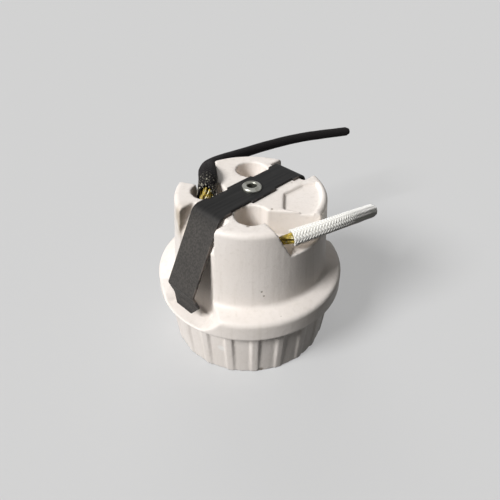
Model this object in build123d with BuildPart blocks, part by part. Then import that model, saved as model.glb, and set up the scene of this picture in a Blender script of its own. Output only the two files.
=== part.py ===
from build123d import *
import os
from math import cos, radians, sin, tan

# A medium-base porcelain lamp holder of the snap-in kind, standing on its mouth.
# Millimetres. +Z is up and runs through the lamp's axis, with the origin in the
# middle of the mouth. +X runs along the spring clip, towards its hidden leg. The
# front of the holder, where the white lead lies, is at -X and -Y.

os.makedirs("parts", exist_ok=True)

# Screw shell for the lamp's thread
shell_minor_r = 12.55       # crest of the thread inside
thread_depth = 0.8
shell_t = 0.4
shell_pitch = 3.629         # seven turns to the inch
shell_low_z = 6.6
shell_plain = 1.75          # plain rim left below the first turn and above the last
shell_crest = 1.1           # flat of the thread's root, and of its crest outside
shell_flank = 2.5
shell_tab_w = 6.4
shell_tab_r = 6.6           # the tabs reach in to here
shell_tab_edge_r = 1.2

# Porcelain, inside: each step out leaves room for what is inside it
cavity_gap = 0.75           # from the shell to the porcelain
mouth_step = 1.9            # the lamp's way in is wider than the cavity
mouth_depth = 5.0
mouth_chamfer = 0.8
cavity_r = shell_minor_r + thread_depth + shell_t + cavity_gap
mouth_r = cavity_r + mouth_step

# Porcelain, outside
skirt_t = 3.05              # the wall at the mouth, between the ribs
skirt_spread = 1.25         # the skirt widens by this up to the flange
flange_overhang = 2.3
skirt_mouth_r = mouth_r + skirt_t
skirt_top_r = skirt_mouth_r + skirt_spread
flange_r = skirt_top_r + flange_overhang    # 1 13/16 in across
flange_under_z = 14.2
flange_edge_z = 19.1        # top edge of the flange's outer wall
seat_z = 20.5               # where the sloped seat meets the tower
tower_base_r = 18.9
tower_top_r = 17.85
body_h = 39.7               # 1 9/16 in
flange_low_edge_r = 0.6
flange_top_edge_r = 1.3
seat_fillet_r = 1.3
rim_edge_r = 1.2

# Grip ribs round the skirt
rib_count = 21
rib_width = 2.2
rib_height = 0.6            # under the flange
rib_foot_height = 0.2       # the ribs fade towards the mouth
rib_edge_r = 0.5
rib_start = -132.6          # azimuth of one rib, degrees

# Deck that carries the contacts
well_depth = 8.2            # from the top down to the deck
deck_t = 4.5
deck_top_z = body_h - well_depth
deck_z = deck_top_z - deck_t

# Wire wells in three of the four lobes
well_offset = 7.2           # from the clip's line and from the line across it
well_r = 3.85
rivet_offset = 6.6          # the rivets stand a little nearer the axis

# Notches that the leads leave by
notch_depth = 6.8
notch_apex_x = -10.6        # where the two straight notch walls would meet
notch_angle = 49.7          # of those walls, from the clip's line
notch_inner = (-5.3, 10.4)  # floor's inner corner, beside the well
notch_floor_x = -5.3        # floor's outer corner
notch_top_inner = (-7.4, 11.2)
notch_top_x_front = -8.6    # sloped wall at the rim, front notch
notch_top_x_rear = -9.8     # and rear notch
notch_rim_y = 16.0

# Shallow panel sunk in the lobe that has no well
panel_depth = 0.8
panel_start = (10.7, -6.7)
panel_corner = (4.4, -6.25)
panel_end = (-0.5, -10.4)
panel_rim_r = 16.4

# Spring clip: one folded strip
clip_t = 0.6
clip_half_w = 4.25
clip_neck_half_w = 3.6
clip_pad_x = 3.95           # the wide middle ends here
clip_neck_end_x = 10.3
clip_knee_x = 13.95         # where top and leg would meet, outer faces
clip_bend_r = 2.4
clip_shoulder = (22.5, 23.2)
clip_waist = (21.05, 19.3)
clip_toe = (21.85, 17.5)
clip_shoulder_r = 0.8
clip_toe_half_w = 2.6
clip_waist_r = 0.7
clip_neck_r = 0.3
clip_grooves = 3
clip_groove = 0.28          # depth of the grip lines on the foot
clip_groove_start = 1.1     # first line, measured down the foot's ramp
clip_groove_pitch = 1.05

# Seat of the clip in the porcelain
slot_half_w = 5.6
slot_floor_top_x = 16.5
slot_floor_low_x = 17.5
slot_knee_clear = 0.9       # under the clip's bend
scoop_floor_z = 15.3        # at the slot
scoop_lip = 0.7             # what is left of the flange below the scoop
scoop_half_out = 6.0        # half its floor's width at the flange's edge
scoop_flare = 70.0          # its sides lean out to this there, degrees from upright

# Eyelet through clip and porcelain
eyelet_r = 1.6
eyelet_bore_r = 1.15
eyelet_head_r = 2.4
eyelet_head_h = 0.85
eyelet_foot_r = 2.25
eyelet_foot_h = 0.6
eyelet_clear = 0.1
washer_r = 3.0
washer_t = 0.5
pocket_r = 3.5              # pocket for the washer in the deck's underside
pocket_depth = 2.6

# Rivets
rivet_r = 1.3
rivet_clear = 0.05
rivet_head_r = 1.7
rivet_head_h = 0.8
rivet_edge_r = 0.3
rivet_clinch_r = 2.0
rivet_clinch_h = 0.6

# Centre contact: a sprung brass tongue
contact_t = 0.5
contact_w = 4.6
contact_pad_half = 2.3
contact_bend_u = 6.4        # the tongue leaves the pad here
contact_tip_z = 22.6
contact_tip_lift = 1.0
contact_tip_reach = 2.6
contact_bend_r = 1.2

# Ring terminals with upright barrels
ring_r = 2.3
ring_t = 0.5
strip_half_w = 0.9
barrel_r = 1.05
barrel_bore_r = 0.65
barrel_h = 1.8
barrel_offset = 2.7         # from the well's axis to the barrel's
front_barrel_angle = -49.5  # degrees, seen from above
rear_barrel_angle = -155.0

# Leads: stranded core, insulation, woven sleeve
core_r = 0.6
core_bare = 0.2             # bare length above the barrel
inner_r = 1.0
white_r = 1.65
black_r = 1.45

# Corners of the leads' lines; the first point is where the sleeve starts
white_line = [
    (-3.75, -15.95, body_h - 3.5),
    (0.5, -18.0, body_h - 2.9),
    (5.7, -19.8, body_h - 2.7),
    (13.1, -20.6, body_h - 3.9),
    (25.7, -18.6, body_h - 9.0),
]
black_line = [
    (-6.2, 8.5, body_h - 0.3),
    (-4.9, 9.6, body_h + 1.0),
    (-2.8, 12.3, body_h + 0.7),
    (0.5, 16.1, body_h - 1.4),
    (4.5, 20.1, body_h - 3.4),
    (10.3, 22.6, body_h - 4.8),
    (16.4, 23.6, body_h - 5.9),
    (23.7, 23.7, body_h - 6.6),
    (31.4, 22.8, body_h - 6.95),
    (42.4, 20.1, body_h - 7.2),
    (51.6, 16.9, body_h - 7.85),
    (60.3, 13.7, body_h - 8.5),
]
inner_bend_share = 0.95     # of the run each side, at the insulation's bends
inner_rise = {"white": 2.05, "black": 2.2}  # from the core's end up to the bend
inner_reach = 1.25          # from the last bend to the sleeve

wall_dx = cos(radians(notch_angle))
wall_dy = sin(radians(notch_angle))
notch_floor_z = body_h - notch_depth
clip_top_z = body_h + clip_t

# Grip rib, made once
with BuildPart() as rib:
    with BuildSketch(Plane.XZ) as rib_side:
        with BuildLine():
            Polyline(
                (skirt_mouth_r - 1, 0),
                (skirt_mouth_r + rib_foot_height, 0),
                (skirt_top_r + rib_height, flange_under_z),
                (skirt_top_r - 1, flange_under_z),
                close=True,
            )
        make_face()
    extrude(amount=rib_width / 2, both=True)
    long_edges = rib.edges().filter_by(lambda e: abs(e.center().Y) > rib_width * 0.4)
    outer_edges = long_edges.filter_by(lambda e: e.length > flange_under_z).sort_by(Axis.X)[-2:]
    fillet(outer_edges, rib_edge_r)


# Cutter for one notch, from its floor up past the top
def notch_block(side, top_x):
    far_y = flange_r
    wall_x = notch_apex_x + far_y * wall_dx / wall_dy
    inner_wall = (notch_apex_x + notch_inner[1] * 0.72 * wall_dx / wall_dy, side * notch_inner[1] * 0.72)
    slope = (top_x - notch_top_inner[0]) / (notch_rim_y - notch_top_inner[1])
    top_far_x = top_x + slope * (far_y - notch_rim_y)
    with BuildPart() as block:
        with BuildSketch(Plane.XY.offset(notch_floor_z)):
            with BuildLine():
                Polyline(
                    inner_wall,
                    (wall_x, side * far_y),
                    (notch_floor_x, side * far_y),
                    (notch_inner[0], side * notch_inner[1]),
                    close=True,
                )
            make_face()
        with BuildSketch(Plane.XY.offset(body_h + 0.01)):
            with BuildLine():
                Polyline(
                    inner_wall,
                    (wall_x, side * far_y),
                    (top_far_x, side * far_y),
                    (notch_top_inner[0], side * notch_top_inner[1]),
                    close=True,
                )
            make_face()
        loft(ruled=True)
    return block.part


# Cutter for one clip slot: its floor follows the tower, and it runs in under the bend
leg_run = clip_shoulder[0] - clip_knee_x
leg_drop = clip_top_z - clip_shoulder[1]
knee_low_z = clip_top_z - (slot_floor_top_x + 0.3 - clip_knee_x + slot_knee_clear) * leg_drop / leg_run
with BuildPart() as slot:
    with BuildSketch(Plane.XZ):
        with BuildLine():
            Polyline(
                (slot_floor_low_x, scoop_floor_z),
                (slot_floor_top_x + 0.35, knee_low_z),
                (clip_knee_x - slot_knee_clear - 0.6, body_h),
                (clip_knee_x - slot_knee_clear - 0.6, body_h + 1),
                (flange_r + 2, body_h + 1),
                (flange_r + 2, scoop_floor_z),
                close=True,
            )
        make_face()
    extrude(amount=slot_half_w, both=True)

# Cutter for one scoop in the flange, below the clip's foot
scoop_low_z = flange_under_z + scoop_lip
scoop_top_z = seat_z + 2
scoop_rise = tan(radians(scoop_flare))
scoop_start_x = (tower_base_r ** 2 - slot_half_w ** 2) ** 0.5
with BuildPart() as scoop:
    with BuildSketch(Plane.YZ.offset(scoop_start_x)):
        with BuildLine():
            Polyline(
                (-slot_half_w, scoop_floor_z),
                (slot_half_w, scoop_floor_z),
                (slot_half_w, scoop_top_z),
                (-slot_half_w, scoop_top_z),
                close=True,
            )
        make_face()
    with BuildSketch(Plane.YZ.offset(flange_r + 0.5)):
        with BuildLine():
            wide = scoop_half_out + (scoop_top_z - scoop_low_z) * scoop_rise
            Polyline(
                (-scoop_half_out, scoop_low_z),
                (scoop_half_out, scoop_low_z),
                (wide, scoop_top_z),
                (-wide, scoop_top_z),
                close=True,
            )
        make_face()
    loft(ruled=True)

# Porcelain body: one casting
with BuildPart() as body:
    with BuildSketch(Plane.XZ):
        with BuildLine():
            Polyline(
                (0, 0),
                (skirt_mouth_r, 0),
                (skirt_top_r, flange_under_z),
                (flange_r, flange_under_z),
                (flange_r, flange_edge_z),
                (tower_base_r, seat_z),
                (tower_top_r, body_h),
                (0, body_h),
                close=True,
            )
        profile = make_face()
        corners = profile.vertices()
        fillet(corners.sort_by(Axis.Y)[-2:].sort_by(Axis.X)[-1], rim_edge_r)
        rims = vertices().group_by(Axis.X)[-1].sort_by(Axis.Y)
        fillet(rims[0], flange_low_edge_r)
        rims = vertices().group_by(Axis.X)[-1].sort_by(Axis.Y)
        fillet(rims[-1], flange_top_edge_r)
        base = vertices().filter_by(lambda v: abs(v.X - tower_base_r) < 0.01 and abs(v.Y - seat_z) < 0.01)
        fillet(base, seat_fillet_r)
    revolve(axis=Axis.Z)
    with PolarLocations(0, rib_count, start_angle=rib_start):
        add(rib.part)
    # Lamp's way in, and the cavity for the shell
    with BuildSketch(Plane.XZ):
        with BuildLine():
            Polyline(
                (0, -1),
                (mouth_r + mouth_chamfer + 1, -1),
                (mouth_r, mouth_chamfer),
                (mouth_r, mouth_depth),
                (cavity_r, mouth_depth + (mouth_r - cavity_r) * 0.5),
                (cavity_r, deck_z),
                (0, deck_z),
                close=True,
            )
        make_face()
    revolve(axis=Axis.Z, mode=Mode.SUBTRACT)
    # Wire wells, rivet holes and the eyelet's hole with its pocket
    with BuildSketch(Plane.XY.offset(deck_top_z)):
        with Locations((well_offset, well_offset), (-well_offset, well_offset), (-well_offset, -well_offset)):
            Circle(well_r)
    extrude(amount=body_h, mode=Mode.SUBTRACT)
    with BuildSketch(Plane.XY.offset(deck_z - 1)):
        with Locations((rivet_offset, rivet_offset), (-rivet_offset, rivet_offset), (-rivet_offset, -rivet_offset)):
            Circle(rivet_r + rivet_clear)
    extrude(amount=deck_t + 2, mode=Mode.SUBTRACT)
    with BuildSketch(Plane.XY.offset(deck_z - 1)):
        Circle(pocket_r)
    extrude(amount=pocket_depth + 1, mode=Mode.SUBTRACT)
    with BuildSketch(Plane.XY.offset(deck_z)):
        Circle(eyelet_r + eyelet_clear)
    extrude(amount=body_h, mode=Mode.SUBTRACT)
    # Notches for the leads
    add(notch_block(-1, notch_top_x_front), mode=Mode.SUBTRACT)
    add(notch_block(1, notch_top_x_rear), mode=Mode.SUBTRACT)
    # Slots and scoops for the clip
    with PolarLocations(0, 2):
        add(slot.part, mode=Mode.SUBTRACT)
        add(scoop.part, mode=Mode.SUBTRACT)
    # Sunk panel on the plain lobe, open to the notch
    with BuildSketch(Plane.XY.offset(body_h - panel_depth)):
        with BuildLine():
            Polyline(
                panel_start,
                panel_corner,
                panel_end,
                (panel_end[0] + 12 * wall_dx - 2, panel_end[1] - 12 * wall_dy - 2),
                (flange_r, -flange_r),
                (flange_r, panel_start[1] * 2.0),
                close=True,
            )
        make_face()
        Circle(panel_rim_r, mode=Mode.INTERSECT)
    extrude(amount=2, mode=Mode.SUBTRACT)
body.part.label = "porcelain_body"
export_step(body.part, "parts/porcelain_body.step")
print("porcelain_body", len(body.solids()), round(body.part.volume, 1), body.part.is_valid)

# Spring clip: one strip, folded down each side
leg = [(clip_knee_x, clip_top_z), clip_shoulder, clip_waist, clip_toe]
fold = [(-x, z) for x, z in reversed(leg)] + leg
ramp = (Vector(*clip_waist) - Vector(*clip_shoulder)).normalized()
ramp_out = Vector(-ramp.Y, ramp.X)
with BuildPart() as clip:
    with BuildSketch(Plane.XZ):
        with BuildLine():
            FilletPolyline(
                *fold,
                radius=[clip_waist_r, clip_shoulder_r, clip_bend_r, clip_bend_r, clip_shoulder_r, clip_waist_r],
            )
            offset(amount=clip_t, side=Side.RIGHT)
        make_face()
    extrude(amount=clip_half_w, both=True)
    # Necks each side of the middle, and the eyelet's hole
    neck_x = (clip_pad_x + clip_neck_end_x) / 2
    neck_y = (clip_neck_half_w + clip_half_w + 1) / 2
    with BuildSketch(Plane.XY.offset(clip_top_z - 2 * clip_t)):
        with Locations((neck_x, neck_y), (neck_x, -neck_y), (-neck_x, neck_y), (-neck_x, -neck_y)):
            RectangleRounded(clip_neck_end_x - clip_pad_x, clip_half_w + 1 - clip_neck_half_w, clip_neck_r)
        Circle(eyelet_r + eyelet_clear)
    extrude(amount=3 * clip_t, mode=Mode.SUBTRACT)
    # Feet narrowed to the toe
    with BuildSketch(Plane.YZ):
        for side in (-1, 1):
            with BuildLine():
                Polyline(
                    (side * clip_half_w, clip_waist[1]),
                    (side * clip_toe_half_w, clip_toe[1]),
                    (side * clip_toe_half_w, clip_toe[1] - 1),
                    (side * (clip_half_w + 1), clip_toe[1] - 1),
                    (side * (clip_half_w + 1), clip_waist[1]),
                    close=True,
                )
            make_face()
    extrude(amount=2 * flange_r, both=True, mode=Mode.SUBTRACT)
    # Grip lines across the ramp of each foot
    with BuildSketch(Plane.XZ):
        for side in (-1, 1):
            for line in range(clip_grooves):
                middle = Vector(*clip_shoulder) + ramp * (clip_groove_start + line * clip_groove_pitch)
                low = middle - ramp_out * clip_groove
                rim = middle + ramp_out * clip_groove * 0.2
                edges = [rim - ramp * clip_groove, low, rim + ramp * clip_groove]
                with BuildLine():
                    Polyline(*[(side * p.X, p.Y) for p in edges], close=True)
                make_face()
    extrude(amount=clip_half_w + 1, both=True, mode=Mode.SUBTRACT)
clip.part.label = "mounting_clip"
export_step(clip.part, "parts/mounting_clip.step")
print("mounting_clip", len(clip.solids()), round(clip.part.volume, 1), clip.part.is_valid)

# Washer in the pocket under the deck
washer_top_z = deck_z + pocket_depth
with BuildPart() as washer:
    with BuildSketch(Plane.XY.offset(washer_top_z - washer_t)):
        Circle(washer_r)
        Circle(eyelet_r + eyelet_clear, mode=Mode.SUBTRACT)
    extrude(amount=washer_t)
washer.part.label = "eyelet_washer"
export_step(washer.part, "parts/eyelet_washer.step")

# Eyelet: a tube rolled over at both ends
eyelet_low_z = washer_top_z - washer_t - eyelet_foot_h
with BuildPart() as eyelet:
    with BuildSketch(Plane.XZ):
        with BuildLine():
            Polyline(
                (eyelet_bore_r, eyelet_low_z),
                (eyelet_foot_r, eyelet_low_z),
                (eyelet_foot_r, eyelet_low_z + eyelet_foot_h),
                (eyelet_r, eyelet_low_z + eyelet_foot_h),
                (eyelet_r, clip_top_z),
                (eyelet_head_r, clip_top_z),
                (eyelet_head_r, clip_top_z + eyelet_head_h),
                (eyelet_bore_r, clip_top_z + eyelet_head_h),
                close=True,
            )
        make_face()
        head = vertices().group_by(Axis.Y)[-1].sort_by(Axis.X)
        fillet(head[-1], eyelet_head_h * 0.8)
        fillet(vertices().group_by(Axis.Y)[-1].sort_by(Axis.X)[0], eyelet_head_h * 0.4)
        fillet(vertices().group_by(Axis.Y)[0].sort_by(Axis.X)[-1], eyelet_foot_h * 0.7)
    revolve(axis=Axis.Z)
eyelet.part.label = "clip_eyelet"
export_step(eyelet.part, "parts/clip_eyelet.step")
print("clip_eyelet", len(eyelet.solids()), round(eyelet.part.volume, 1), eyelet.part.is_valid)

# Screw shell: rolled sheet with a thread, and two tabs turned in under the deck
tab_t = shell_t
shell_top_z = deck_z - tab_t
shell_turns = (shell_top_z - shell_low_z - 2 * shell_plain) / shell_pitch * 2 // 1 / 2


def coil(grow):
    """Ridge that follows the thread, thicker outwards by the given amount."""
    crest = (shell_crest + grow * 0.9) / 2
    foot = (shell_flank + grow * 0.9) / 2
    with BuildPart() as ridge:
        with BuildLine() as path:
            Helix(
                pitch=shell_pitch,
                height=shell_turns * shell_pitch,
                radius=shell_minor_r,
                center=(0, 0, shell_low_z + shell_plain),
            )
        with BuildSketch(Plane(origin=path.line @ 0, z_dir=path.line % 0, x_dir=(1, 0, 0))):
            with BuildLine():
                Polyline(
                    (-0.6, -foot - 0.6),
                    (thread_depth + grow, -crest),
                    (thread_depth + grow, crest),
                    (-0.6, foot + 0.6),
                    close=True,
                )
            make_face()
        sweep(is_frenet=True)
    return ridge.part


rivet_xy = {"back": (1, 1), "contact": (-1, 1), "front": (-1, -1)}
with BuildPart() as shell:
    with BuildSketch(Plane.XY.offset(shell_low_z)):
        Circle(shell_minor_r + shell_t)
    extrude(amount=shell_top_z - shell_low_z)
    add(coil(shell_t))
    with BuildSketch(Plane.XY.offset(shell_low_z - shell_pitch)):
        Circle(shell_minor_r)
    extrude(amount=shell_top_z - shell_low_z + 2 * shell_pitch, mode=Mode.SUBTRACT)
    add(coil(0), mode=Mode.SUBTRACT)
    # Turned-in tabs, held by the rivets of the front and back wells
    tab_run = shell_minor_r + shell_t - shell_tab_r
    with BuildSketch(Plane.XY.offset(shell_top_z)):
        for turn in (45, 225):
            with PolarLocations(shell_tab_r + tab_run / 2, 1, start_angle=turn):
                Rectangle(tab_run, shell_tab_w)
        Circle(shell_minor_r + shell_t, mode=Mode.INTERSECT)
        for key in ("back", "front"):
            with Locations((rivet_xy[key][0] * rivet_offset, rivet_xy[key][1] * rivet_offset)):
                Circle(rivet_r + rivet_clear, mode=Mode.SUBTRACT)
    extrude(amount=tab_t)
    tab_corners = shell.edges().filter_by(Axis.Z).filter_by(lambda e: e.center().Z > shell_top_z)
    tab_corners = tab_corners.filter_by(lambda e: Vector(e.center().X, e.center().Y).length < shell_tab_r + 1.5)
    fillet(tab_corners, shell_tab_edge_r)
shell.part.label = "screw_shell"
export_step(shell.part, "parts/screw_shell.step")
print("screw_shell", len(shell.solids()), round(shell.part.volume, 1), shell.part.is_valid)


def rivet(head_z, clinch_z):
    """Rivet on +Z: its head sits on head_z and its clinch under clinch_z."""
    with BuildPart() as made:
        with BuildSketch(Plane.XZ):
            with BuildLine():
                Polyline(
                    (0, clinch_z - rivet_clinch_h),
                    (rivet_clinch_r, clinch_z - rivet_clinch_h),
                    (rivet_clinch_r, clinch_z),
                    (rivet_r, clinch_z),
                    (rivet_r, head_z),
                    (rivet_head_r, head_z),
                    (rivet_head_r, head_z + rivet_head_h),
                    (0, head_z + rivet_head_h),
                    close=True,
                )
            make_face()
            fillet(vertices().group_by(Axis.Y)[-1].sort_by(Axis.X)[-1], rivet_edge_r * 1.6)
            fillet(vertices().group_by(Axis.Y)[0].sort_by(Axis.X)[-1], rivet_edge_r)
        revolve(axis=Axis.Z)
    return made.part


# Rivets: the front one holds a terminal and a tab, the back one a tab alone, and the
# contact's one a terminal and the contact
contact_pad_z = deck_z - contact_t
seats = {
    "shell_rivet_front": ("front", deck_top_z + ring_t, shell_top_z),
    "shell_rivet_back": ("back", deck_top_z, shell_top_z),
    "contact_rivet": ("contact", deck_top_z + ring_t, contact_pad_z),
}
for name, (key, head_z, clinch_z) in seats.items():
    place = Pos(rivet_xy[key][0] * rivet_offset, rivet_xy[key][1] * rivet_offset, 0)
    solid = place * rivet(head_z, clinch_z)
    solid.label = name
    export_step(solid, f"parts/{name}.step")
    print(name, round(solid.volume, 2), solid.is_valid)

# Centre contact: pad under the deck, tongue bent down to the axis and up past it
rivet_u = rivet_offset * 2 ** 0.5
contact_side = Plane(origin=(0, 0, 0), x_dir=(-1, 1, 0), z_dir=(1, 1, 0))
with BuildPart() as contact:
    with BuildSketch(contact_side):
        with BuildLine():
            FilletPolyline(
                (rivet_u + contact_pad_half, deck_z),
                (contact_bend_u, deck_z),
                (0, contact_tip_z + contact_t),
                (-contact_tip_reach, contact_tip_z + contact_t + contact_tip_lift),
                radius=[contact_bend_r, contact_bend_r],
            )
            offset(amount=contact_t, side=Side.LEFT)
        make_face()
    extrude(amount=contact_w / 2, both=True)
    with BuildSketch(Plane.XY.offset(contact_pad_z - 1)):
        with Locations((-rivet_offset, rivet_offset)):
            Circle(rivet_r + rivet_clear)
    extrude(amount=contact_t + 2, mode=Mode.SUBTRACT)
contact.part.label = "centre_contact"
export_step(contact.part, "parts/centre_contact.step")
print("centre_contact", len(contact.solids()), round(contact.part.volume, 1), contact.part.is_valid,
      contact.part.bounding_box())

# Ring terminals, with their barrels
lead_side = {"white": (-1, -1, front_barrel_angle), "black": (-1, 1, rear_barrel_angle)}
barrel_at = {}
for colour, (sx, sy, angle) in lead_side.items():
    ring = (sx * rivet_offset, sy * rivet_offset)
    barrel = (
        sx * well_offset + barrel_offset * cos(radians(angle)),
        sy * well_offset + barrel_offset * sin(radians(angle)),
    )
    barrel_at[colour] = barrel
    across = Vector(barrel[1] - ring[1], ring[0] - barrel[0]).normalized() * strip_half_w
    with BuildPart() as terminal:
        with BuildSketch(Plane.XY.offset(deck_top_z)):
            with Locations(ring):
                Circle(ring_r)
            with Locations(barrel):
                Circle(barrel_r)
            with BuildLine():
                Polyline(
                    (ring[0] + across.X, ring[1] + across.Y),
                    (barrel[0] + across.X, barrel[1] + across.Y),
                    (barrel[0] - across.X, barrel[1] - across.Y),
                    (ring[0] - across.X, ring[1] - across.Y),
                    close=True,
                )
            make_face()
            with Locations(ring):
                Circle(rivet_r + rivet_clear, mode=Mode.SUBTRACT)
        extrude(amount=ring_t)
        with BuildSketch(Plane.XY.offset(deck_top_z + ring_t)):
            with Locations(barrel):
                Circle(barrel_r)
                Circle(barrel_bore_r, mode=Mode.SUBTRACT)
        extrude(amount=barrel_h)
    terminal.part.label = f"{colour}_terminal"
    export_step(terminal.part, f"parts/{colour}_terminal.step")
    with BuildPart() as core:
        with BuildSketch(Plane.XY.offset(deck_top_z + ring_t)):
            with Locations(barrel):
                Circle(core_r)
        extrude(amount=barrel_h + core_bare)
    core.part.label = f"{colour}_conductor"
    export_step(core.part, f"parts/{colour}_conductor.step")
    print(colour, "terminal", len(terminal.solids()), terminal.part.is_valid, "barrel", barrel)


def bend_radii(points, share):
    """Radii for a line's corners, from the shorter run beside each."""
    radii = []
    for before, here, after in zip(points, points[1:], points[2:]):
        run_in = here - before
        run_out = after - here
        half_turn = radians(run_in.get_angle(run_out)) / 2
        radii.append(share * min(run_in.length, run_out.length) / tan(half_turn))
    return radii


def tube(points, radii, tube_r):
    """Round tube along a line of runs with rounded corners, and its length."""
    with BuildPart() as made:
        with BuildLine():
            path = FilletPolyline(*points, radius=radii)
        with BuildSketch(Plane(origin=path @ 0, z_dir=path % 0)):
            Circle(tube_r)
        sweep()
    return made.part, path.length


# Sleeves: the leads themselves
for colour, line, sleeve_r in (("white", white_line, white_r), ("black", black_line, black_r)):
    points = [Vector(*p) for p in line]
    radii = bend_radii(points, 0.45)
    sleeve, run = tube(points, radii, sleeve_r)
    sleeve.label = f"{colour}_lead"
    export_step(sleeve, f"parts/{colour}_lead.step")
    print(f"{colour}_lead", "length", round(run, 1), "radii", [round(r, 1) for r in radii])
    print("   volume", round(sleeve.volume, 2), "of", round(3.14159265 * sleeve_r ** 2 * run, 2), sleeve.is_valid)

# Insulation between the conductors and the sleeves
inner_low_z = deck_top_z + ring_t + barrel_h + core_bare
for colour, line in (("white", white_line), ("black", black_line)):
    start = Vector(barrel_at[colour][0], barrel_at[colour][1], inner_low_z)
    sleeve_start = Vector(*line[0])
    along = (Vector(*line[1]) - sleeve_start).normalized()
    rise = start + Vector(0, 0, inner_rise[colour])
    last = sleeve_start - along * inner_reach
    points = [start, rise, last, sleeve_start]
    insulation, run = tube(points, bend_radii(points, inner_bend_share), inner_r)
    insulation.label = f"{colour}_lead_insulation"
    export_step(insulation, f"parts/{colour}_lead_insulation.step")
    print(f"{colour}_lead_insulation", "length", round(run, 1), insulation.is_valid, [tuple(p) for p in points])
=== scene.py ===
# %% [markdown]
# # A porcelain lamp holder with a spring clip
#
# The CAD model gives every piece its place and size, in metres, with the mouth of the
# holder on the floor and +Z up through the lamp's axis. This lesson dresses that model:
# it adds a camera, the two woven leads with their frayed ends, a softer porcelain
# surface, a clip with broken edges, and the finishes of all the pieces.

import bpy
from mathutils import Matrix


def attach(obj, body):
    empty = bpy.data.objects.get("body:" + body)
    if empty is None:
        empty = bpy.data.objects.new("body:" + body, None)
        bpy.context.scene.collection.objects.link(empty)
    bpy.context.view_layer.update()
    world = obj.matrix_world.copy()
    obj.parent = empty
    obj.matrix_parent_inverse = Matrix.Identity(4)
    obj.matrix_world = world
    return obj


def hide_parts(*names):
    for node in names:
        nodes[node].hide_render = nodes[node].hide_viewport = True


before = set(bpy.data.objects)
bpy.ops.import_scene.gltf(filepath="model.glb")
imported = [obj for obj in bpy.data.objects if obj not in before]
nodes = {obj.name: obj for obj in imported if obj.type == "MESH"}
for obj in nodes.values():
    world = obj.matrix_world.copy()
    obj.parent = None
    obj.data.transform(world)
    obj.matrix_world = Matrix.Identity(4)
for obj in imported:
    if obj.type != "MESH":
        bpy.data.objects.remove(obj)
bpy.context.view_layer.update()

import bisect
import math
import random

import bmesh
import bpy
from mathutils import Matrix, Vector, noise

MM = 0.001
print("nodes:", sorted(nodes))

# %% [markdown]
# ## The camera
#
# The photograph looks down on the holder from the side of the white lead. A camera can
# be aimed with a Track To constraint, but this view also rolls a little, and its
# optical centre lies right of the picture's middle and above it. So the three
# directions of the view are worked out from its angles, and the lens is shifted.

# %% Camera
PICTURE = 500
view_azimuth = math.radians(39.369)
view_pitch = math.radians(31.635)
view_roll = math.radians(3.082)
focal_px = 494.45
centre_px = Vector((288.14, 192.59))
eye = Vector((-70.911, -69.257, 100.412)) * MM

ahead = Vector((
    math.cos(view_azimuth) * math.cos(view_pitch),
    math.sin(view_azimuth) * math.cos(view_pitch),
    -math.sin(view_pitch),
))
level = ahead.cross(Vector((0, 0, 1))).normalized()
upright = level.cross(ahead)
right = level * math.cos(view_roll) + upright * math.sin(view_roll)
up = upright * math.cos(view_roll) - level * math.sin(view_roll)

lens = bpy.data.cameras.new("camera")
lens.sensor_width = 36
lens.lens = lens.sensor_width * focal_px / PICTURE
lens.shift_x = (PICTURE / 2 - centre_px.x) / PICTURE
lens.shift_y = (centre_px.y - PICTURE / 2) / PICTURE
lens.clip_start = 0.005
camera = bpy.data.objects.new("camera", lens)
camera.matrix_world = Matrix.Translation(eye) @ Matrix((right, up, -ahead)).transposed().to_4x4()
bpy.context.scene.collection.objects.link(camera)
bpy.context.scene.camera = camera
print("lens", round(lens.lens, 2), "shift", round(lens.shift_x, 4), round(lens.shift_y, 4))

# %% [markdown]
# ## Where the leads run
#
# Both leads are short and stiff, and stand out from the holder. A Bezier curve would
# need handles at every point. A NURBS spline runs smoothly past its points by itself,
# and with clamped ends it starts exactly where the sleeve starts. The black sleeve
# reaches a little further down into its well than its solid does, so its route has
# one more point there. The line is then read back, to build a woven tube around it.

# %% Lead routes
lead_routes = {
    "white_lead": [
        (-3.75, -15.95, 36.2),
        (0.5, -18.0, 36.8),
        (5.7, -19.8, 37.0),
        (13.1, -20.6, 35.8),
        (24.6, -18.75, 31.1),
    ],
    "black_lead": [
        (-7.7, 7.3, 37.6),
        (-6.2, 8.5, 39.4),
        (-4.9, 9.6, 40.7),
        (-2.8, 12.3, 40.4),
        (0.5, 16.1, 38.3),
        (4.5, 20.1, 36.3),
        (10.3, 22.6, 34.9),
        (16.4, 23.6, 33.8),
        (23.7, 23.7, 33.1),
        (31.4, 22.8, 32.75),
        (42.4, 20.1, 32.5),
        (51.6, 16.9, 31.85),
        (60.3, 13.7, 31.2),
    ],
}


def nurbs_points(route, resolution):
    """Points along the NURBS spline whose control points are the route's."""
    curve = bpy.data.curves.new("route", "CURVE")
    curve.dimensions = "3D"
    spline = curve.splines.new("NURBS")
    spline.points.add(len(route) - 1)
    for point, place in zip(spline.points, route):
        point.co = (*(Vector(place) * MM), 1)
    spline.order_u = 3
    spline.use_endpoint_u = True
    spline.resolution_u = resolution
    holder = bpy.data.objects.new("route", curve)
    line = bpy.data.meshes.new_from_object(holder)
    points = [vertex.co.copy() for vertex in line.vertices]
    bpy.data.objects.remove(holder)
    bpy.data.meshes.remove(line)
    return points


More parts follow.
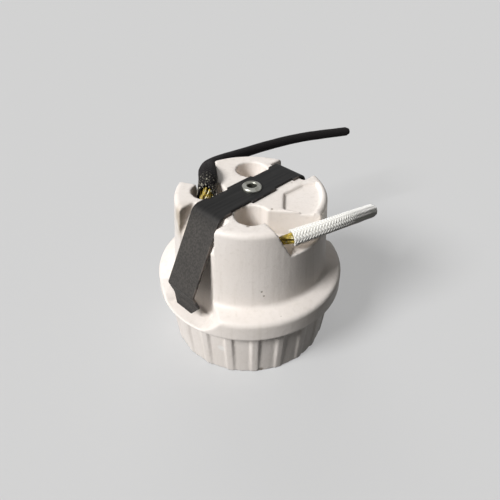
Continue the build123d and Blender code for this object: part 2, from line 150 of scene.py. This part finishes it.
# %% A line with its own frame
class Line:
    """Points of a spline, their lengths along it, and side directions without twist."""

    def __init__(self, points):
        self.points = points
        self.lengths = [0.0]
        for before, here in zip(points, points[1:]):
            self.lengths.append(self.lengths[-1] + (here - before).length)
        self.whole = self.lengths[-1]
        self.sides = []
        side = (points[1] - points[0]).orthogonal().normalized()
        for i in range(len(points)):
            tangent = (points[min(i + 1, len(points) - 1)] - points[max(i - 1, 0)]).normalized()
            side = (side - tangent * side.dot(tangent)).normalized()
            self.sides.append((side, tangent.cross(side)))

    def outward(self, i, turns):
        """Direction across the line at its point i, at some turns round it."""
        side, other = self.sides[i]
        angle = 2 * math.pi * turns
        return side * math.cos(angle) + other * math.sin(angle)

    def at(self, along, turns):
        """Point at a length along the line, and the direction at some turns round it."""
        i = min(max(bisect.bisect_right(self.lengths, along) - 1, 0), len(self.points) - 2)
        gap = self.lengths[i + 1] - self.lengths[i]
        share = min(max((along - self.lengths[i]) / gap, 0), 1)
        return self.points[i].lerp(self.points[i + 1], share), self.outward(i, turns)


lead_lines = {name: Line(nurbs_points(route, 90)) for name, route in lead_routes.items()}
for name, line in lead_lines.items():
    print(name, len(line.points), "points,", round(line.whole / MM, 1), "mm")

# %% [markdown]
# ## How a braid is woven
#
# A sleeve is a tubular braid: strands run round it as left-hand and right-hand
# spirals, and each goes over two and under two of the others. A bump texture would
# leave the outline smooth, so the strands are real relief here. One function gives the
# height of the weave at a spot. It finds which strand of each hand passes there,
# decides which of the two lies on top, and swells that strand across its width and
# along the stretch that it floats.

# %% Height of the braid
FLOAT_END = 0.55  # height of a strand where it comes up or dives
STRAND_CURVE = 0.7  # below 1, a strand is flatter on top than a sine


def smooth_step(low, high, value):
    """0 at low, 1 at high, and an easy slope between them. low may be the larger."""
    share = min(max((value - low) / (high - low), 0), 1)
    return share * share * (3 - 2 * share)


def braid_height(turns, along, strands, pitch):
    """Height of a two-over-two braid, 0 in its gaps and 1 on top of a strand."""
    left = turns * strands + along / pitch
    right_hand = turns * strands - along / pitch
    row = math.floor(left) + math.floor(right_hand)
    if row % 4 < 2:
        across = left % 1
        afloat = (right_hand + math.floor(left)) % 4 / 2
    else:
        across = right_hand % 1
        afloat = (left + math.floor(right_hand) - 2) % 4 / 2
    swell = FLOAT_END + (1 - FLOAT_END) * math.sin(math.pi * min(afloat, 1))
    return math.sin(math.pi * across) ** STRAND_CURVE * swell


print("braid:", [round(braid_height(0.1, a * 0.2, 10, 0.85), 2) for a in range(6)])

# %% [markdown]
# ## From the line to a sleeve
#
# The tube is a stack of rings, each in the plane across the line. Modifiers could
# sweep a profile along a curve, but each ring needs its own radius, and the open end
# of the black sleeve is torn back on one side. So every vertex is placed by its turn
# round the sleeve and its length along it. The open end turns inwards, so that the
# sleeve has a wall to look into.

# %% Sleeve builder
WEAVE_LAYER = "weave_height"  # the mesh keeps the weave's height under this name
WALL = 0.5 * MM  # thickness of a sleeve's wall at its open end
RING_SHARE = 0.13  # gap between two rings, as a share of the weave's pitch
MEAN_HEIGHT = 0.6  # weave height that lies on the sleeve's own radius
LUMP = 0.05 * MM  # how far the sleeve swells and shrinks
LUMP_RATE = 300  # lumps per metre
TORN_STRETCH = 7 * MM  # the tear pulls the weave back over this length
TORN_CURVE = 1.5  # above 1, the tear is narrower than half the sleeve
FRINGE = 0.35  # raggedness of the torn edge, as a share of the tear
FRINGE_ALL_ROUND = 0.12  # share of the fringe that the whole edge has
FRINGE_RATE = 40  # teeth of the fringe round the sleeve


class Sleeve:
    """Shape of one sleeve: its line, its radius, its weave and its torn end."""

    def __init__(self, line, reach, strands, pitch, relief, tear=0.0, torn_side=(0, 0, 1)):
        self.line = line
        self.reach = reach
        self.strands = strands
        self.pitch = pitch * MM
        self.relief = relief * MM
        self.tear = tear * MM
        self.torn_side = Vector(torn_side).normalized()

    def vertex(self, along, turns, inside=False):
        """Place and weave height of one vertex."""
        here, outward = self.line.at(along, turns)
        if self.tear:
            facing = max(outward.dot(self.torn_side), 0)
            fringe = noise.noise(Vector((turns * FRINGE_RATE, 0, 3))) * FRINGE
            back = self.tear * (facing ** TORN_CURVE * (1 + fringe) + FRINGE_ALL_ROUND * fringe)
            along += back * (1 - smooth_step(0, TORN_STRETCH, along))
            here, outward = self.line.at(along, turns)
        height = braid_height(turns, along, self.strands, self.pitch)
        lump = noise.noise(here * LUMP_RATE + outward * 0.7) * LUMP
        radius = self.reach(along) + (height - MEAN_HEIGHT) * self.relief + lump
        if inside:
            radius -= WALL
        return here + outward * radius, height


def ring_of(mesh, heights, sleeve, along, sides, inside=False):
    """One ring of vertices, with the weave height of each kept in a layer."""
    ring = []
    for step in range(sides):
        place, height = sleeve.vertex(along, step / sides, inside)
        vertex = mesh.verts.new(place)
        vertex[heights] = 0.0 if inside else height
        ring.append(vertex)
    return ring


def join_rings(mesh, rings):
    """Smooth quads from each ring of vertices to the next one."""
    for ring, following in zip(rings, rings[1:]):
        for step in range(len(ring)):
            after = (step + 1) % len(ring)
            corners = (ring[step], ring[after], following[after], following[step])
            mesh.faces.new(corners).smooth = True


def object_from(mesh, name):
    """A new object from a bmesh, which is freed."""
    mesh.normal_update()
    piece = bpy.data.objects.new(name, bpy.data.meshes.new(name))
    mesh.to_mesh(piece.data)
    mesh.free()
    bpy.context.scene.collection.objects.link(piece)
    return piece


def woven_tube(name, sleeve, sides, mouth):
    """A sleeve's mesh: inner wall of its mouth, outside, and a closed far end."""
    mesh = bmesh.new()
    heights = mesh.verts.layers.float.new(WEAVE_LAYER)
    whole = sleeve.line.whole
    count = round(whole / (sleeve.pitch * RING_SHARE))
    inner = [mouth * step / 6 for step in (6, 4, 2, 1, 0)]
    outer = [whole * step / count for step in range(count + 1)]
    rings = [ring_of(mesh, heights, sleeve, along, sides, True) for along in inner]
    rings += [ring_of(mesh, heights, sleeve, along, sides) for along in outer]
    join_rings(mesh, rings)
    for ring, flip in ((rings[0], True), (rings[-1], False)):
        middle = sum((vertex.co for vertex in ring), Vector()) / sides
        hub = mesh.verts.new(middle)
        for step in range(sides):
            pair = (ring[step], ring[(step + 1) % sides])
            mesh.faces.new((*reversed(pair), hub) if flip else (*pair, hub))
    piece = object_from(mesh, name)
    print(name, len(piece.data.polygons), "faces")
    return piece


# %% White sleeve
white_line = lead_lines["white_lead"]
white_radius = 1.65 * MM


def white_reach(along):
    """Radius of the white sleeve: a little wider at its open end, drawn in at the other."""
    near_start = smooth_step(8 * MM, 0, along)
    short_of_end = smooth_step(0, 0.9 * MM, white_line.whole - along)
    return white_radius * (0.92 + 0.1 * near_start + 0.08 * short_of_end)


white_weave = Sleeve(white_line, white_reach, strands=12, pitch=0.74, relief=0.22)
white_sleeve = woven_tube("white_sleeve", white_weave, sides=120, mouth=2 * MM)
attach(white_sleeve, "root")
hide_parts("white_lead")

# %% Black sleeve
black_line = lead_lines["black_lead"]
black_radius = 1.45 * MM


def black_reach(along):
    """Radius of the black sleeve: wide where it starts, then slimmer, drawn in at its end."""
    near_start = smooth_step(40 * MM, 9 * MM, along)
    short_of_end = smooth_step(0, 1.2 * MM, black_line.whole - along)
    return black_radius * (0.98 + 0.56 * near_start) * (0.72 + 0.28 * short_of_end)


black_weave = Sleeve(
    black_line, black_reach, strands=16, pitch=0.6, relief=0.13,
    tear=2.4, torn_side=(-0.5, -0.45, 0.75),
)
black_sleeve = woven_tube("black_sleeve", black_weave, sides=96, mouth=5 * MM)
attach(black_sleeve, "root")
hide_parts("black_lead")

# %% [markdown]
# ## Frayed inner ends
#
# Between terminal and sleeve each lead shows its inner covering, a wrap of yellow and
# off-white threads that has come loose. Hair curves would do, but their thickness and
# ends are hard to steer at this size. So each thread is a thin tube of its own that
# follows the bundle, with its own place in it and its own wander. Blender starts its
# noise vectors from the clock when they get no seed, so they get one here, and each
# run makes the same threads.

# %% Thread bundles
THREAD_SIDES = 7
THREAD_STEPS = 25  # stretches that a thread is made of
THREAD_END = 0.55  # radius at a thread's two ends, as a share of its own
STRAY = 0.18  # millimetres that a thread wanders from its place in the bundle
STRAY_SEED = 1796011277
noise.seed_set(STRAY_SEED)


def thread(mesh, points, radius):
    """Add one thin tube along the points, with closed ends."""
    line = Line(points)
    rings = []
    for i, here in enumerate(points):
        share = THREAD_END if i in (0, len(points) - 1) else 1
        directions = [line.outward(i, step / THREAD_SIDES) for step in range(THREAD_SIDES)]
        rings.append([mesh.verts.new(here + outward * radius * share) for outward in directions])
    join_rings(mesh, rings)
    mesh.faces.new(list(reversed(rings[0])))
    mesh.faces.new(rings[-1])


def bundle(name, route, count, spread, radius, twist, seed):
    """Threads round a route. spread gives the bundle's radius in mm, from 0 to 1 along it."""
    dice = random.Random(seed)
    core = Line(nurbs_points(route, 12))
    mesh = bmesh.new()
    for number in range(count):
        turn = dice.random()
        out = math.sqrt(dice.uniform(0.15, 1))
        last = dice.uniform(0.86, 1.0)
        points = []
        for step in range(THREAD_STEPS + 1):
            share = step / THREAD_STEPS * last
            here, outward = core.at(share * core.whole, turn + twist * share)
            stray = noise.noise_vector(Vector((number * 7.1, share * 5, seed))) * STRAY * MM
            home = here + outward * out * spread(share) * MM
            points.append(home + stray * smooth_step(0, 0.3, share))
        thread(mesh, points, radius * MM * dice.uniform(0.8, 1.2))
    piece = object_from(mesh, name)
    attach(piece, "root")
    print(name, count, "threads,", len(piece.data.polygons), "faces")
    return piece


# %% Threads of the black lead
black_inner_route = [
    (-9.65, 6.06, 34.05),
    (-9.6, 6.1, 35.6),
    (-8.4, 6.9, 37.0),
    (-7.3, 7.6, 38.2),
    (-6.3, 8.4, 39.5),
]
black_threads = bundle(
    "black_lead_threads", black_inner_route, count=34,
    spread=lambda share: 0.75 + 0.85 * smooth_step(0.1, 0.6, share), radius=0.2, twist=0.2, seed=3,
)
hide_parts("black_lead_insulation")

# %% Threads of the white lead
white_inner_route = [
    (-5.446, -9.253, 34.05),
    (-5.3, -10.6, 34.2),
    (-4.9, -12.8, 34.2),
    (-4.3, -14.9, 35.2),
    (-2.6, -16.5, 36.3),
]
white_threads = bundle(
    "white_lead_threads", white_inner_route, count=30,
    spread=lambda share: 0.7 + 0.45 * smooth_step(0.3, 0.9, share), radius=0.2, twist=0.5, seed=8,
)
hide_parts("white_lead_insulation")

# %% [markdown]
# ## Soft edges on the porcelain
#
# The solid body has crisp edges, where the real casting is rounded by its mould and
# its glaze. A Bevel modifier is unsure on a mesh with this many cuts in it. A voxel
# remesh of a copy, relaxed once, rounds every edge alike, as glaze does. The remesh
# makes far more faces than the flat parts need, so a Decimate modifier takes some out.

# %% Soft copies


def softened(name, node, voxel, keep):
    """A remeshed and relaxed copy of a node's mesh, with a share of its faces kept."""
    piece = bpy.data.objects.new(name, nodes[node].data.copy())
    bpy.context.scene.collection.objects.link(piece)
    remesh = piece.modifiers.new("cast", "REMESH")
    remesh.mode = "VOXEL"
    remesh.voxel_size = voxel * MM
    relax = piece.modifiers.new("glaze", "SMOOTH")
    relax.factor = 0.5
    relax.iterations = 1
    piece.modifiers.new("fewer", "DECIMATE").ratio = keep
    graph = bpy.context.evaluated_depsgraph_get()
    data = bpy.data.meshes.new_from_object(piece.evaluated_get(graph))
    piece.modifiers.clear()
    piece.data = data
    data.polygons.foreach_set("use_smooth", [True] * len(data.polygons))
    print(name, len(data.polygons), "faces")
    return piece


# %% Porcelain
casting = softened("casting", "porcelain_body", voxel=0.29, keep=0.55)
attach(casting, "root")
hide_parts("porcelain_body")

# %% [markdown]
# ## Broken edges on the clip
#
# The clip is cut from strip and folded, and its edges are slightly broken by
# tumbling. Those thin edges catch the light. A Bevel modifier pinches at the long thin
# triangles of the model's mesh, so the clip gets the same treatment as the porcelain,
# with a finer voxel that keeps its thin strip whole.

# %% Clip
clip_strip = softened("clip_strip", "mounting_clip", voxel=0.12, keep=0.6)
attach(clip_strip, "root")
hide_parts("mounting_clip")

# %% [markdown]
# ## Arithmetic on sockets
#
# A finish is a small sum of patterns. Written node by node it fills pages, so one
# class wraps an output socket and lets Python's own operators add the Math nodes.
# Every other node comes from one method.

# %% Socket arithmetic
SPOT_CORE = 0.3  # share of a spot's radius inside which it is at full strength


class Signal:
    """One output socket of a material, usable in plain arithmetic."""

    def __init__(self, tree, socket=None):
        self.tree = tree
        self.socket = socket

    def node(self, kind, settings=None, out=0, **sockets):
        """Add a node. Sockets take values or signals, by name or as iN. out picks an output."""
        made = self.tree.nodes.new("ShaderNode" + kind)
        for key, value in (settings or {}).items():
            setattr(made, key, value)
        for key, value in sockets.items():
            index = key[1:]
            plug = made.inputs[int(index) if index.isdigit() else key.replace("_", " ")]
            if isinstance(value, Signal):
                self.tree.links.new(value.socket, plug)
            elif plug.type == "RGBA":
                plug.default_value = (*value, 1)
            else:
                plug.default_value = value
        return Signal(self.tree, made.outputs[out])

    def maths(self, operation, a, b=0.0):
        """A Math node on two signals or numbers."""
        return self.node("Math", {"operation": operation}, i0=a, i1=b)

    def __add__(self, other):
        return self.maths("ADD", self, other)

    def __sub__(self, other):
        return self.maths("SUBTRACT", self, other)

    def __mul__(self, other):
        return self.maths("MULTIPLY", self, other)

    def __rsub__(self, other):
        return self.maths("SUBTRACT", other, self)

    __radd__ = __add__
    __rmul__ = __mul__

    def between(self, low, high):
        """0 at low, 1 at high, and a smooth slope between them. low may be the larger."""
        smooth = {"interpolation_type": "SMOOTHSTEP"}
        return self.node("MapRange", smooth, Value=self, From_Min=low, From_Max=high)

    def colours(self, first, second):
        """Colour that goes from first to second as this signal goes from 0 to 1."""
        return self.node("Mix", {"data_type": "RGBA"}, out=2, i0=self, i6=first, i7=second)

    def place(self):
        """Position on the object, in metres."""
        return self.node("TexCoord", out="Object")

    def coordinate(self, axis):
        """X, Y or Z of the position on the object, in metres."""
        return self.node("SeparateXYZ", out=axis, Vector=self.place())

    def apart(self, axis):
        """Distance from the object's origin along one axis, in metres."""
        return self.maths("ABSOLUTE", self.coordinate(axis))

    def attribute(self, name):
        """A number that the mesh keeps for each vertex."""
        return self.node("Attribute", {"attribute_name": name}, out="Fac")

    def noise(self, scale, detail=3.0, squeeze=None):
        """Noise pattern of a scale per metre. A squeeze below 1 draws it out along that axis."""
        where = self.place()
        if squeeze:
            where = self.node("VectorMath", {"operation": "MULTIPLY"}, i0=where, i1=squeeze)
        return self.node("TexNoise", Vector=where, Scale=scale, Detail=detail)

    def near(self, point, radius):
        """1 at a point given in millimetres, 0 further away than the radius."""
        centre = tuple(Vector(point) * MM)
        away = self.node(
            "VectorMath", {"operation": "DISTANCE"}, out="Value", i0=self.place(), i1=centre,
        )
        return away.between(radius * MM, SPOT_CORE * radius * MM)


class Finish:
    """A material with constants on its shader and signals linked to its sockets."""

    def __init__(self, name, **constants):
        self.material = bpy.data.materials.new(name)
        self.material.use_nodes = True
        self.shader = self.material.node_tree.nodes["Principled BSDF"]
        self.start = Signal(self.material.node_tree)
        for key, value in constants.items():
            self.shader.inputs[key.replace("_", " ")].default_value = value

    def link(self, **signals):
        """Link signals to the shader's sockets by name."""
        for key, signal in signals.items():
            plug = self.shader.inputs[key.replace("_", " ")]
            self.material.node_tree.links.new(signal.socket, plug)

    def bump(self, height, strength, distance):
        """Link a bump of a height signal to the shader's normal."""
        depth = distance * MM
        bumped = self.start.node("Bump", Strength=strength, Distance=depth, Height=height)
        self.link(Normal=bumped)

    def put_on(self, *pieces):
        """Give this finish to pieces, in place of any they have."""
        for piece in pieces:
            piece.data.materials.clear()
            piece.data.materials.append(self.material)
        print(self.material.name, "on", [piece.name for piece in pieces])


# %% [markdown]
# ## Glazed porcelain
#
# The body is a warm white. Its glaze is thin and satin, so the clay's grain shows
# through it, with pinholes, faint runs down the tower, and dirt in a few places. Noise
# gives the grain and the runs, a Voronoi pattern gives scattered pinholes, and the
# marks that can be told apart in the photograph are listed.
# The brown patch by the clip's left leg is partly a stain and partly painted shade on the slot
# wall.

# %% Porcelain finish
CELL_RATE = 210.0  # cells per metre, of which one in eight or so holds a pinhole
porcelain = Finish("porcelain", Specular_IOR_Level=0.3)
start = porcelain.start
cloud = start.noise(70.0)
grain = start.noise(1100.0, detail=4.0)
runs = start.noise(900.0, detail=2.0, squeeze=(1.0, 1.0, 0.08))
base = cloud.between(0.3, 0.7).colours((0.85, 0.785, 0.73), (0.89, 0.83, 0.78))
base = ((grain.between(0.5, 0.8) + runs.between(0.5, 0.8)) * 0.3).colours(base, (0.68, 0.62, 0.55))
cells = start.node("TexVoronoi", Vector=start.place(), Scale=CELL_RATE)
lottery = start.node("TexVoronoi", out="Color", Vector=start.place(), Scale=CELL_RATE)
picked = start.node("SeparateColor", i0=lottery).between(0.86, 0.88)
pinholes = cells.between(0.075, 0.04) * picked
marks = {
    (-2.5, -8.76, 39.7): 0.4,
    (-10.8, -9.6, 39.6): 0.6,
    (-11.5, -14.6, 24.9): 0.32,
    (-11.2, -15.0, 23.7): 0.3,
    (-12.2, -15.7, 0.4): 1.1,
    (-10.0, -4.5, 39.7): 0.4,
}
for point, radius in marks.items():
    pinholes = start.maths("MAXIMUM", pinholes, start.near(point, radius))
base = (pinholes * 0.75).colours(base, (0.20, 0.15, 0.10))
# a brown patch by the clip's left leg: partly a stain, partly painted shade on the slot's wall
# beside the leg
stain_and_shade = start.near((-17.2, 4.6, 36.5), 6.0) * start.noise(260.0).between(0.3, 0.6)
base = (stain_and_shade * 0.6).colours(base, (0.36, 0.27, 0.15))
# a paler spot on the skirt: a glaze run with a painted highlight on it
base = start.near((-18.4, -8.4, 7.8), 1.3).colours(base, (0.93, 0.90, 0.86))
porcelain.link(Base_Color=base, Roughness=0.36 + 0.16 * cloud + 0.2 * pinholes)
porcelain.bump(grain * 0.6 + runs * 0.3 + cloud * 0.6 - pinholes * 0.9, strength=0.5, distance=0.16)
porcelain.put_on(casting)

# %% [markdown]
# ## Blackened steel
#
# The clip is oxidised black, nearly matt on its rolled faces, with fine lines along the
# strip. Where hands and the plate rub, the edges are worn to brownish grey metal. The
# wear is a noise mask that is lifted along the strip's two long edges, where its width
# ends. The two legs, which stand well out from the lamp's axis, are finely mottled and
# painted lighter and browner than the strap, as painted light from the key lamp, and
# the foot of each is dark again.

# %% Clip finish
black_steel = Finish("black_steel", Specular_IOR_Level=0.22)
start = black_steel.start
rub = start.noise(420.0, detail=5.0)
edge = start.apart("Y").between(3.9 * MM, 4.25 * MM)
lines = start.noise(1500.0, squeeze=(0.06, 1.0, 0.06))
foot = start.coordinate("Z").between(18.6 * MM, 17.4 * MM)
# painted light: the legs, which the key lamp lights, are coloured lighter and browner than the
# strap
legs_painted_lighter = start.apart("X").between(13.2 * MM, 16 * MM)
wear = (edge * rub.between(0.42, 0.62) + rub.between(0.66, 0.8) * 0.3) * 0.6
flat = legs_painted_lighter.colours((0.008, 0.008, 0.008), (0.042, 0.039, 0.036))
fine = start.noise(2200.0, detail=4.0)
flat = (fine.between(0.35, 0.65) * legs_painted_lighter * 0.5).colours(flat, (0.095, 0.086, 0.078))
flat = foot.colours(flat, (0.030, 0.028, 0.026))
base = (lines.between(0.35, 0.7) * 0.2).colours(flat, (0.045, 0.042, 0.040))
black_steel.link(
    Base_Color=wear.colours(base, (0.19, 0.16, 0.14)),
    Roughness=0.62 - 0.12 * lines - 0.15 * wear,
    Metallic=wear * 0.7,
)
black_steel.bump(lines * 0.6 + rub, strength=0.25, distance=0.06)
black_steel.put_on(clip_strip)

# %% [markdown]
# ## Woven sleeves
#
# The white sleeve is bleached cotton, with grey-olive shade painted between its strands.
# The black one is dyed, and near its open end pale fibres break through. The mesh
# keeps the height of its weave at each vertex, so an Attribute node paints shade in gaps.

# %% Sleeve finishes
white_cotton = Finish(
    "white_sleeve", Roughness=0.9, Specular_IOR_Level=0.2, Sheen_Weight=0.9, Sheen_Roughness=0.7,
)
start = white_cotton.start
lift = start.attribute(WEAVE_LAYER)
fuzz = start.noise(2600.0, detail=2.0)
# painted shade: the gaps between the strands are coloured grey-olive, the strand tops white
base = lift.between(0.0, 0.7).colours((0.50, 0.46, 0.36), (0.97, 0.955, 0.91))
base = (fuzz.between(0.58, 0.8) * 0.3).colours(base, (0.72, 0.66, 0.54))
white_cotton.link(Base_Color=base)
white_cotton.put_on(white_sleeve)

black_cotton = Finish("black_sleeve", Roughness=0.8, Specular_IOR_Level=0.15, Sheen_Weight=0.03)
start = black_cotton.start
lift = start.attribute(WEAVE_LAYER)
# painted shade: the gaps between the strands are coloured darker than the strand tops
base = lift.between(0.2, 0.9).colours((0.004, 0.004, 0.004), (0.019, 0.016, 0.017))
frayed = start.near((-7.4, 7.6, 38.4), 6.0)
flecks = start.noise(2600.0, detail=1.0).between(0.54, 0.64) * lift.between(0.4, 0.8) * frayed
base = flecks.colours(base, (0.55, 0.52, 0.42))
black_cotton.link(Base_Color=base)
black_cotton.put_on(black_sleeve)

yellow_wrap = Finish("inner_insulation", Roughness=0.5)
start = yellow_wrap.start
streak = start.noise(1600.0, detail=2.0)
base = streak.between(0.42, 0.6).colours((0.58, 0.43, 0.06), (0.30, 0.22, 0.03))
base = start.noise(900.0).between(0.56, 0.66).colours(base, (0.72, 0.68, 0.50))
yellow_wrap.link(Base_Color=base)
yellow_wrap.put_on(black_threads, white_threads)

# %% [markdown]
# ## Metals
#
# Eyelet, rivets and washer are nickel plated, the screw shell is rolled aluminium,
# and contact and terminals are brass. Bare metal takes its look from what it mirrors,
# so only tarnish and gloss vary over it.

# %% Metal finishes


def metal(name, colour, tarnish, roughness, *pieces):
    """A metal with patches of tarnish, put on its pieces."""
    made = Finish(name, Metallic=1.0)
    patches = made.start.noise(500.0, detail=4.0).between(0.45, 0.7)
    made.link(Base_Color=patches.colours(colour, tarnish), Roughness=roughness + 0.22 * patches)
    made.put_on(*pieces)


rivets = [nodes[name] for name in sorted(nodes) if "rivet" in name]
metal(
    "nickel", (0.46, 0.46, 0.42), (0.26, 0.26, 0.22), 0.26,
    nodes["clip_eyelet"], nodes["eyelet_washer"], *rivets,
)
metal(
    "shell_metal", (0.74, 0.74, 0.73), (0.55, 0.54, 0.52), 0.28,
    nodes["screw_shell"],
)
metal(
    "contact_brass", (0.72, 0.52, 0.23), (0.42, 0.28, 0.12), 0.26,
    nodes["centre_contact"], nodes["white_terminal"], nodes["black_terminal"],
)
metal(
    "tinned_copper", (0.66, 0.60, 0.54), (0.45, 0.33, 0.24), 0.34,
    nodes["white_conductor"], nodes["black_conductor"],
)

# %% [markdown]
# ## Floor, light and background
#
# One broad lamp from the left models the round tower. A weak one from behind, which
# adds no highlight, lifts the tops and the far side, and a dim world fills the shade.
# The floor shows the camera a plain grey with a soft shadow, while it sends little
# light back up, as the unlit side in the photograph shows.

# %% Floor
BACKDROP = 0.645  # grey of the background, and of the floor's own glow
GLOW = 0.55  # strength of that glow
HALF_WIDTH = 3.0  # of the floor, in metres
DROP = 0.05 * MM  # the floor lies this much under the foot, so that the two never touch
corners = [(-HALF_WIDTH, -HALF_WIDTH, 0), (HALF_WIDTH, -HALF_WIDTH, 0)]
corners += [(HALF_WIDTH, HALF_WIDTH, 0), (-HALF_WIDTH, HALF_WIDTH, 0)]
sheet = bpy.data.meshes.new("floor")
sheet.from_pydata(corners, [], [(0, 1, 2, 3)])
floor = bpy.data.objects.new("floor", sheet)
floor.location.z = -DROP
bpy.context.scene.collection.objects.link(floor)


def looked_at(start):
    """1 for rays from the camera, from gloss and through glass, 0 for the rest."""
    camera_ray = start.node("LightPath", out="Is Camera Ray")
    gloss_ray = start.node("LightPath", out="Is Glossy Ray")
    glass_ray = start.node("LightPath", out="Is Transmission Ray")
    return start.maths("MAXIMUM", start.maths("MAXIMUM", camera_ray, gloss_ray), glass_ray)


pale_floor = Finish("floor", Roughness=1.0, Specular_IOR_Level=0.0, Emission_Strength=GLOW)
start = pale_floor.start
pale_floor.link(
    Base_Color=looked_at(start).colours((0.06,) * 3, (0.30,) * 3),
    Emission_Color=looked_at(start).colours((0.0,) * 3, (BACKDROP,) * 3),
)
pale_floor.put_on(floor)

# %% Lamps and world


def softbox(name, azimuth, height, strength, spread, glossy=True):
    """A sun lamp from an azimuth and a height in degrees. Its width softens its shadows."""
    lamp = bpy.data.lights.new(name, "SUN")
    lamp.energy = strength * math.pi
    lamp.angle = math.radians(spread)
    holder = bpy.data.objects.new(name, lamp)
    flat = math.cos(math.radians(height))
    towards = Vector((
        -flat * math.cos(math.radians(azimuth)),
        -flat * math.sin(math.radians(azimuth)),
        -math.sin(math.radians(height)),
    ))
    holder.rotation_mode = "QUATERNION"
    holder.rotation_quaternion = towards.to_track_quat("-Z", "Y")
    holder.visible_glossy = glossy
    bpy.context.scene.collection.objects.link(holder)
    print(name, "shines along", [round(part, 2) for part in towards])


softbox("key", azimuth=170, height=40, strength=1.24, spread=22)
softbox("fill", azimuth=58, height=32, strength=0.2, spread=40, glossy=False)

AIR_LIGHT = (0.065, 0.064, 0.06)  # what the world sends into the shade
world = bpy.data.worlds.new("studio")
bpy.context.scene.world = world
world.use_nodes = True
air = Signal(world.node_tree)
backdrop = looked_at(air).colours(AIR_LIGHT, (BACKDROP,) * 3)
world.node_tree.links.new(
    backdrop.socket, world.node_tree.nodes["Background"].inputs["Color"],
)
bpy.context.scene.view_settings.view_transform = "Standard"
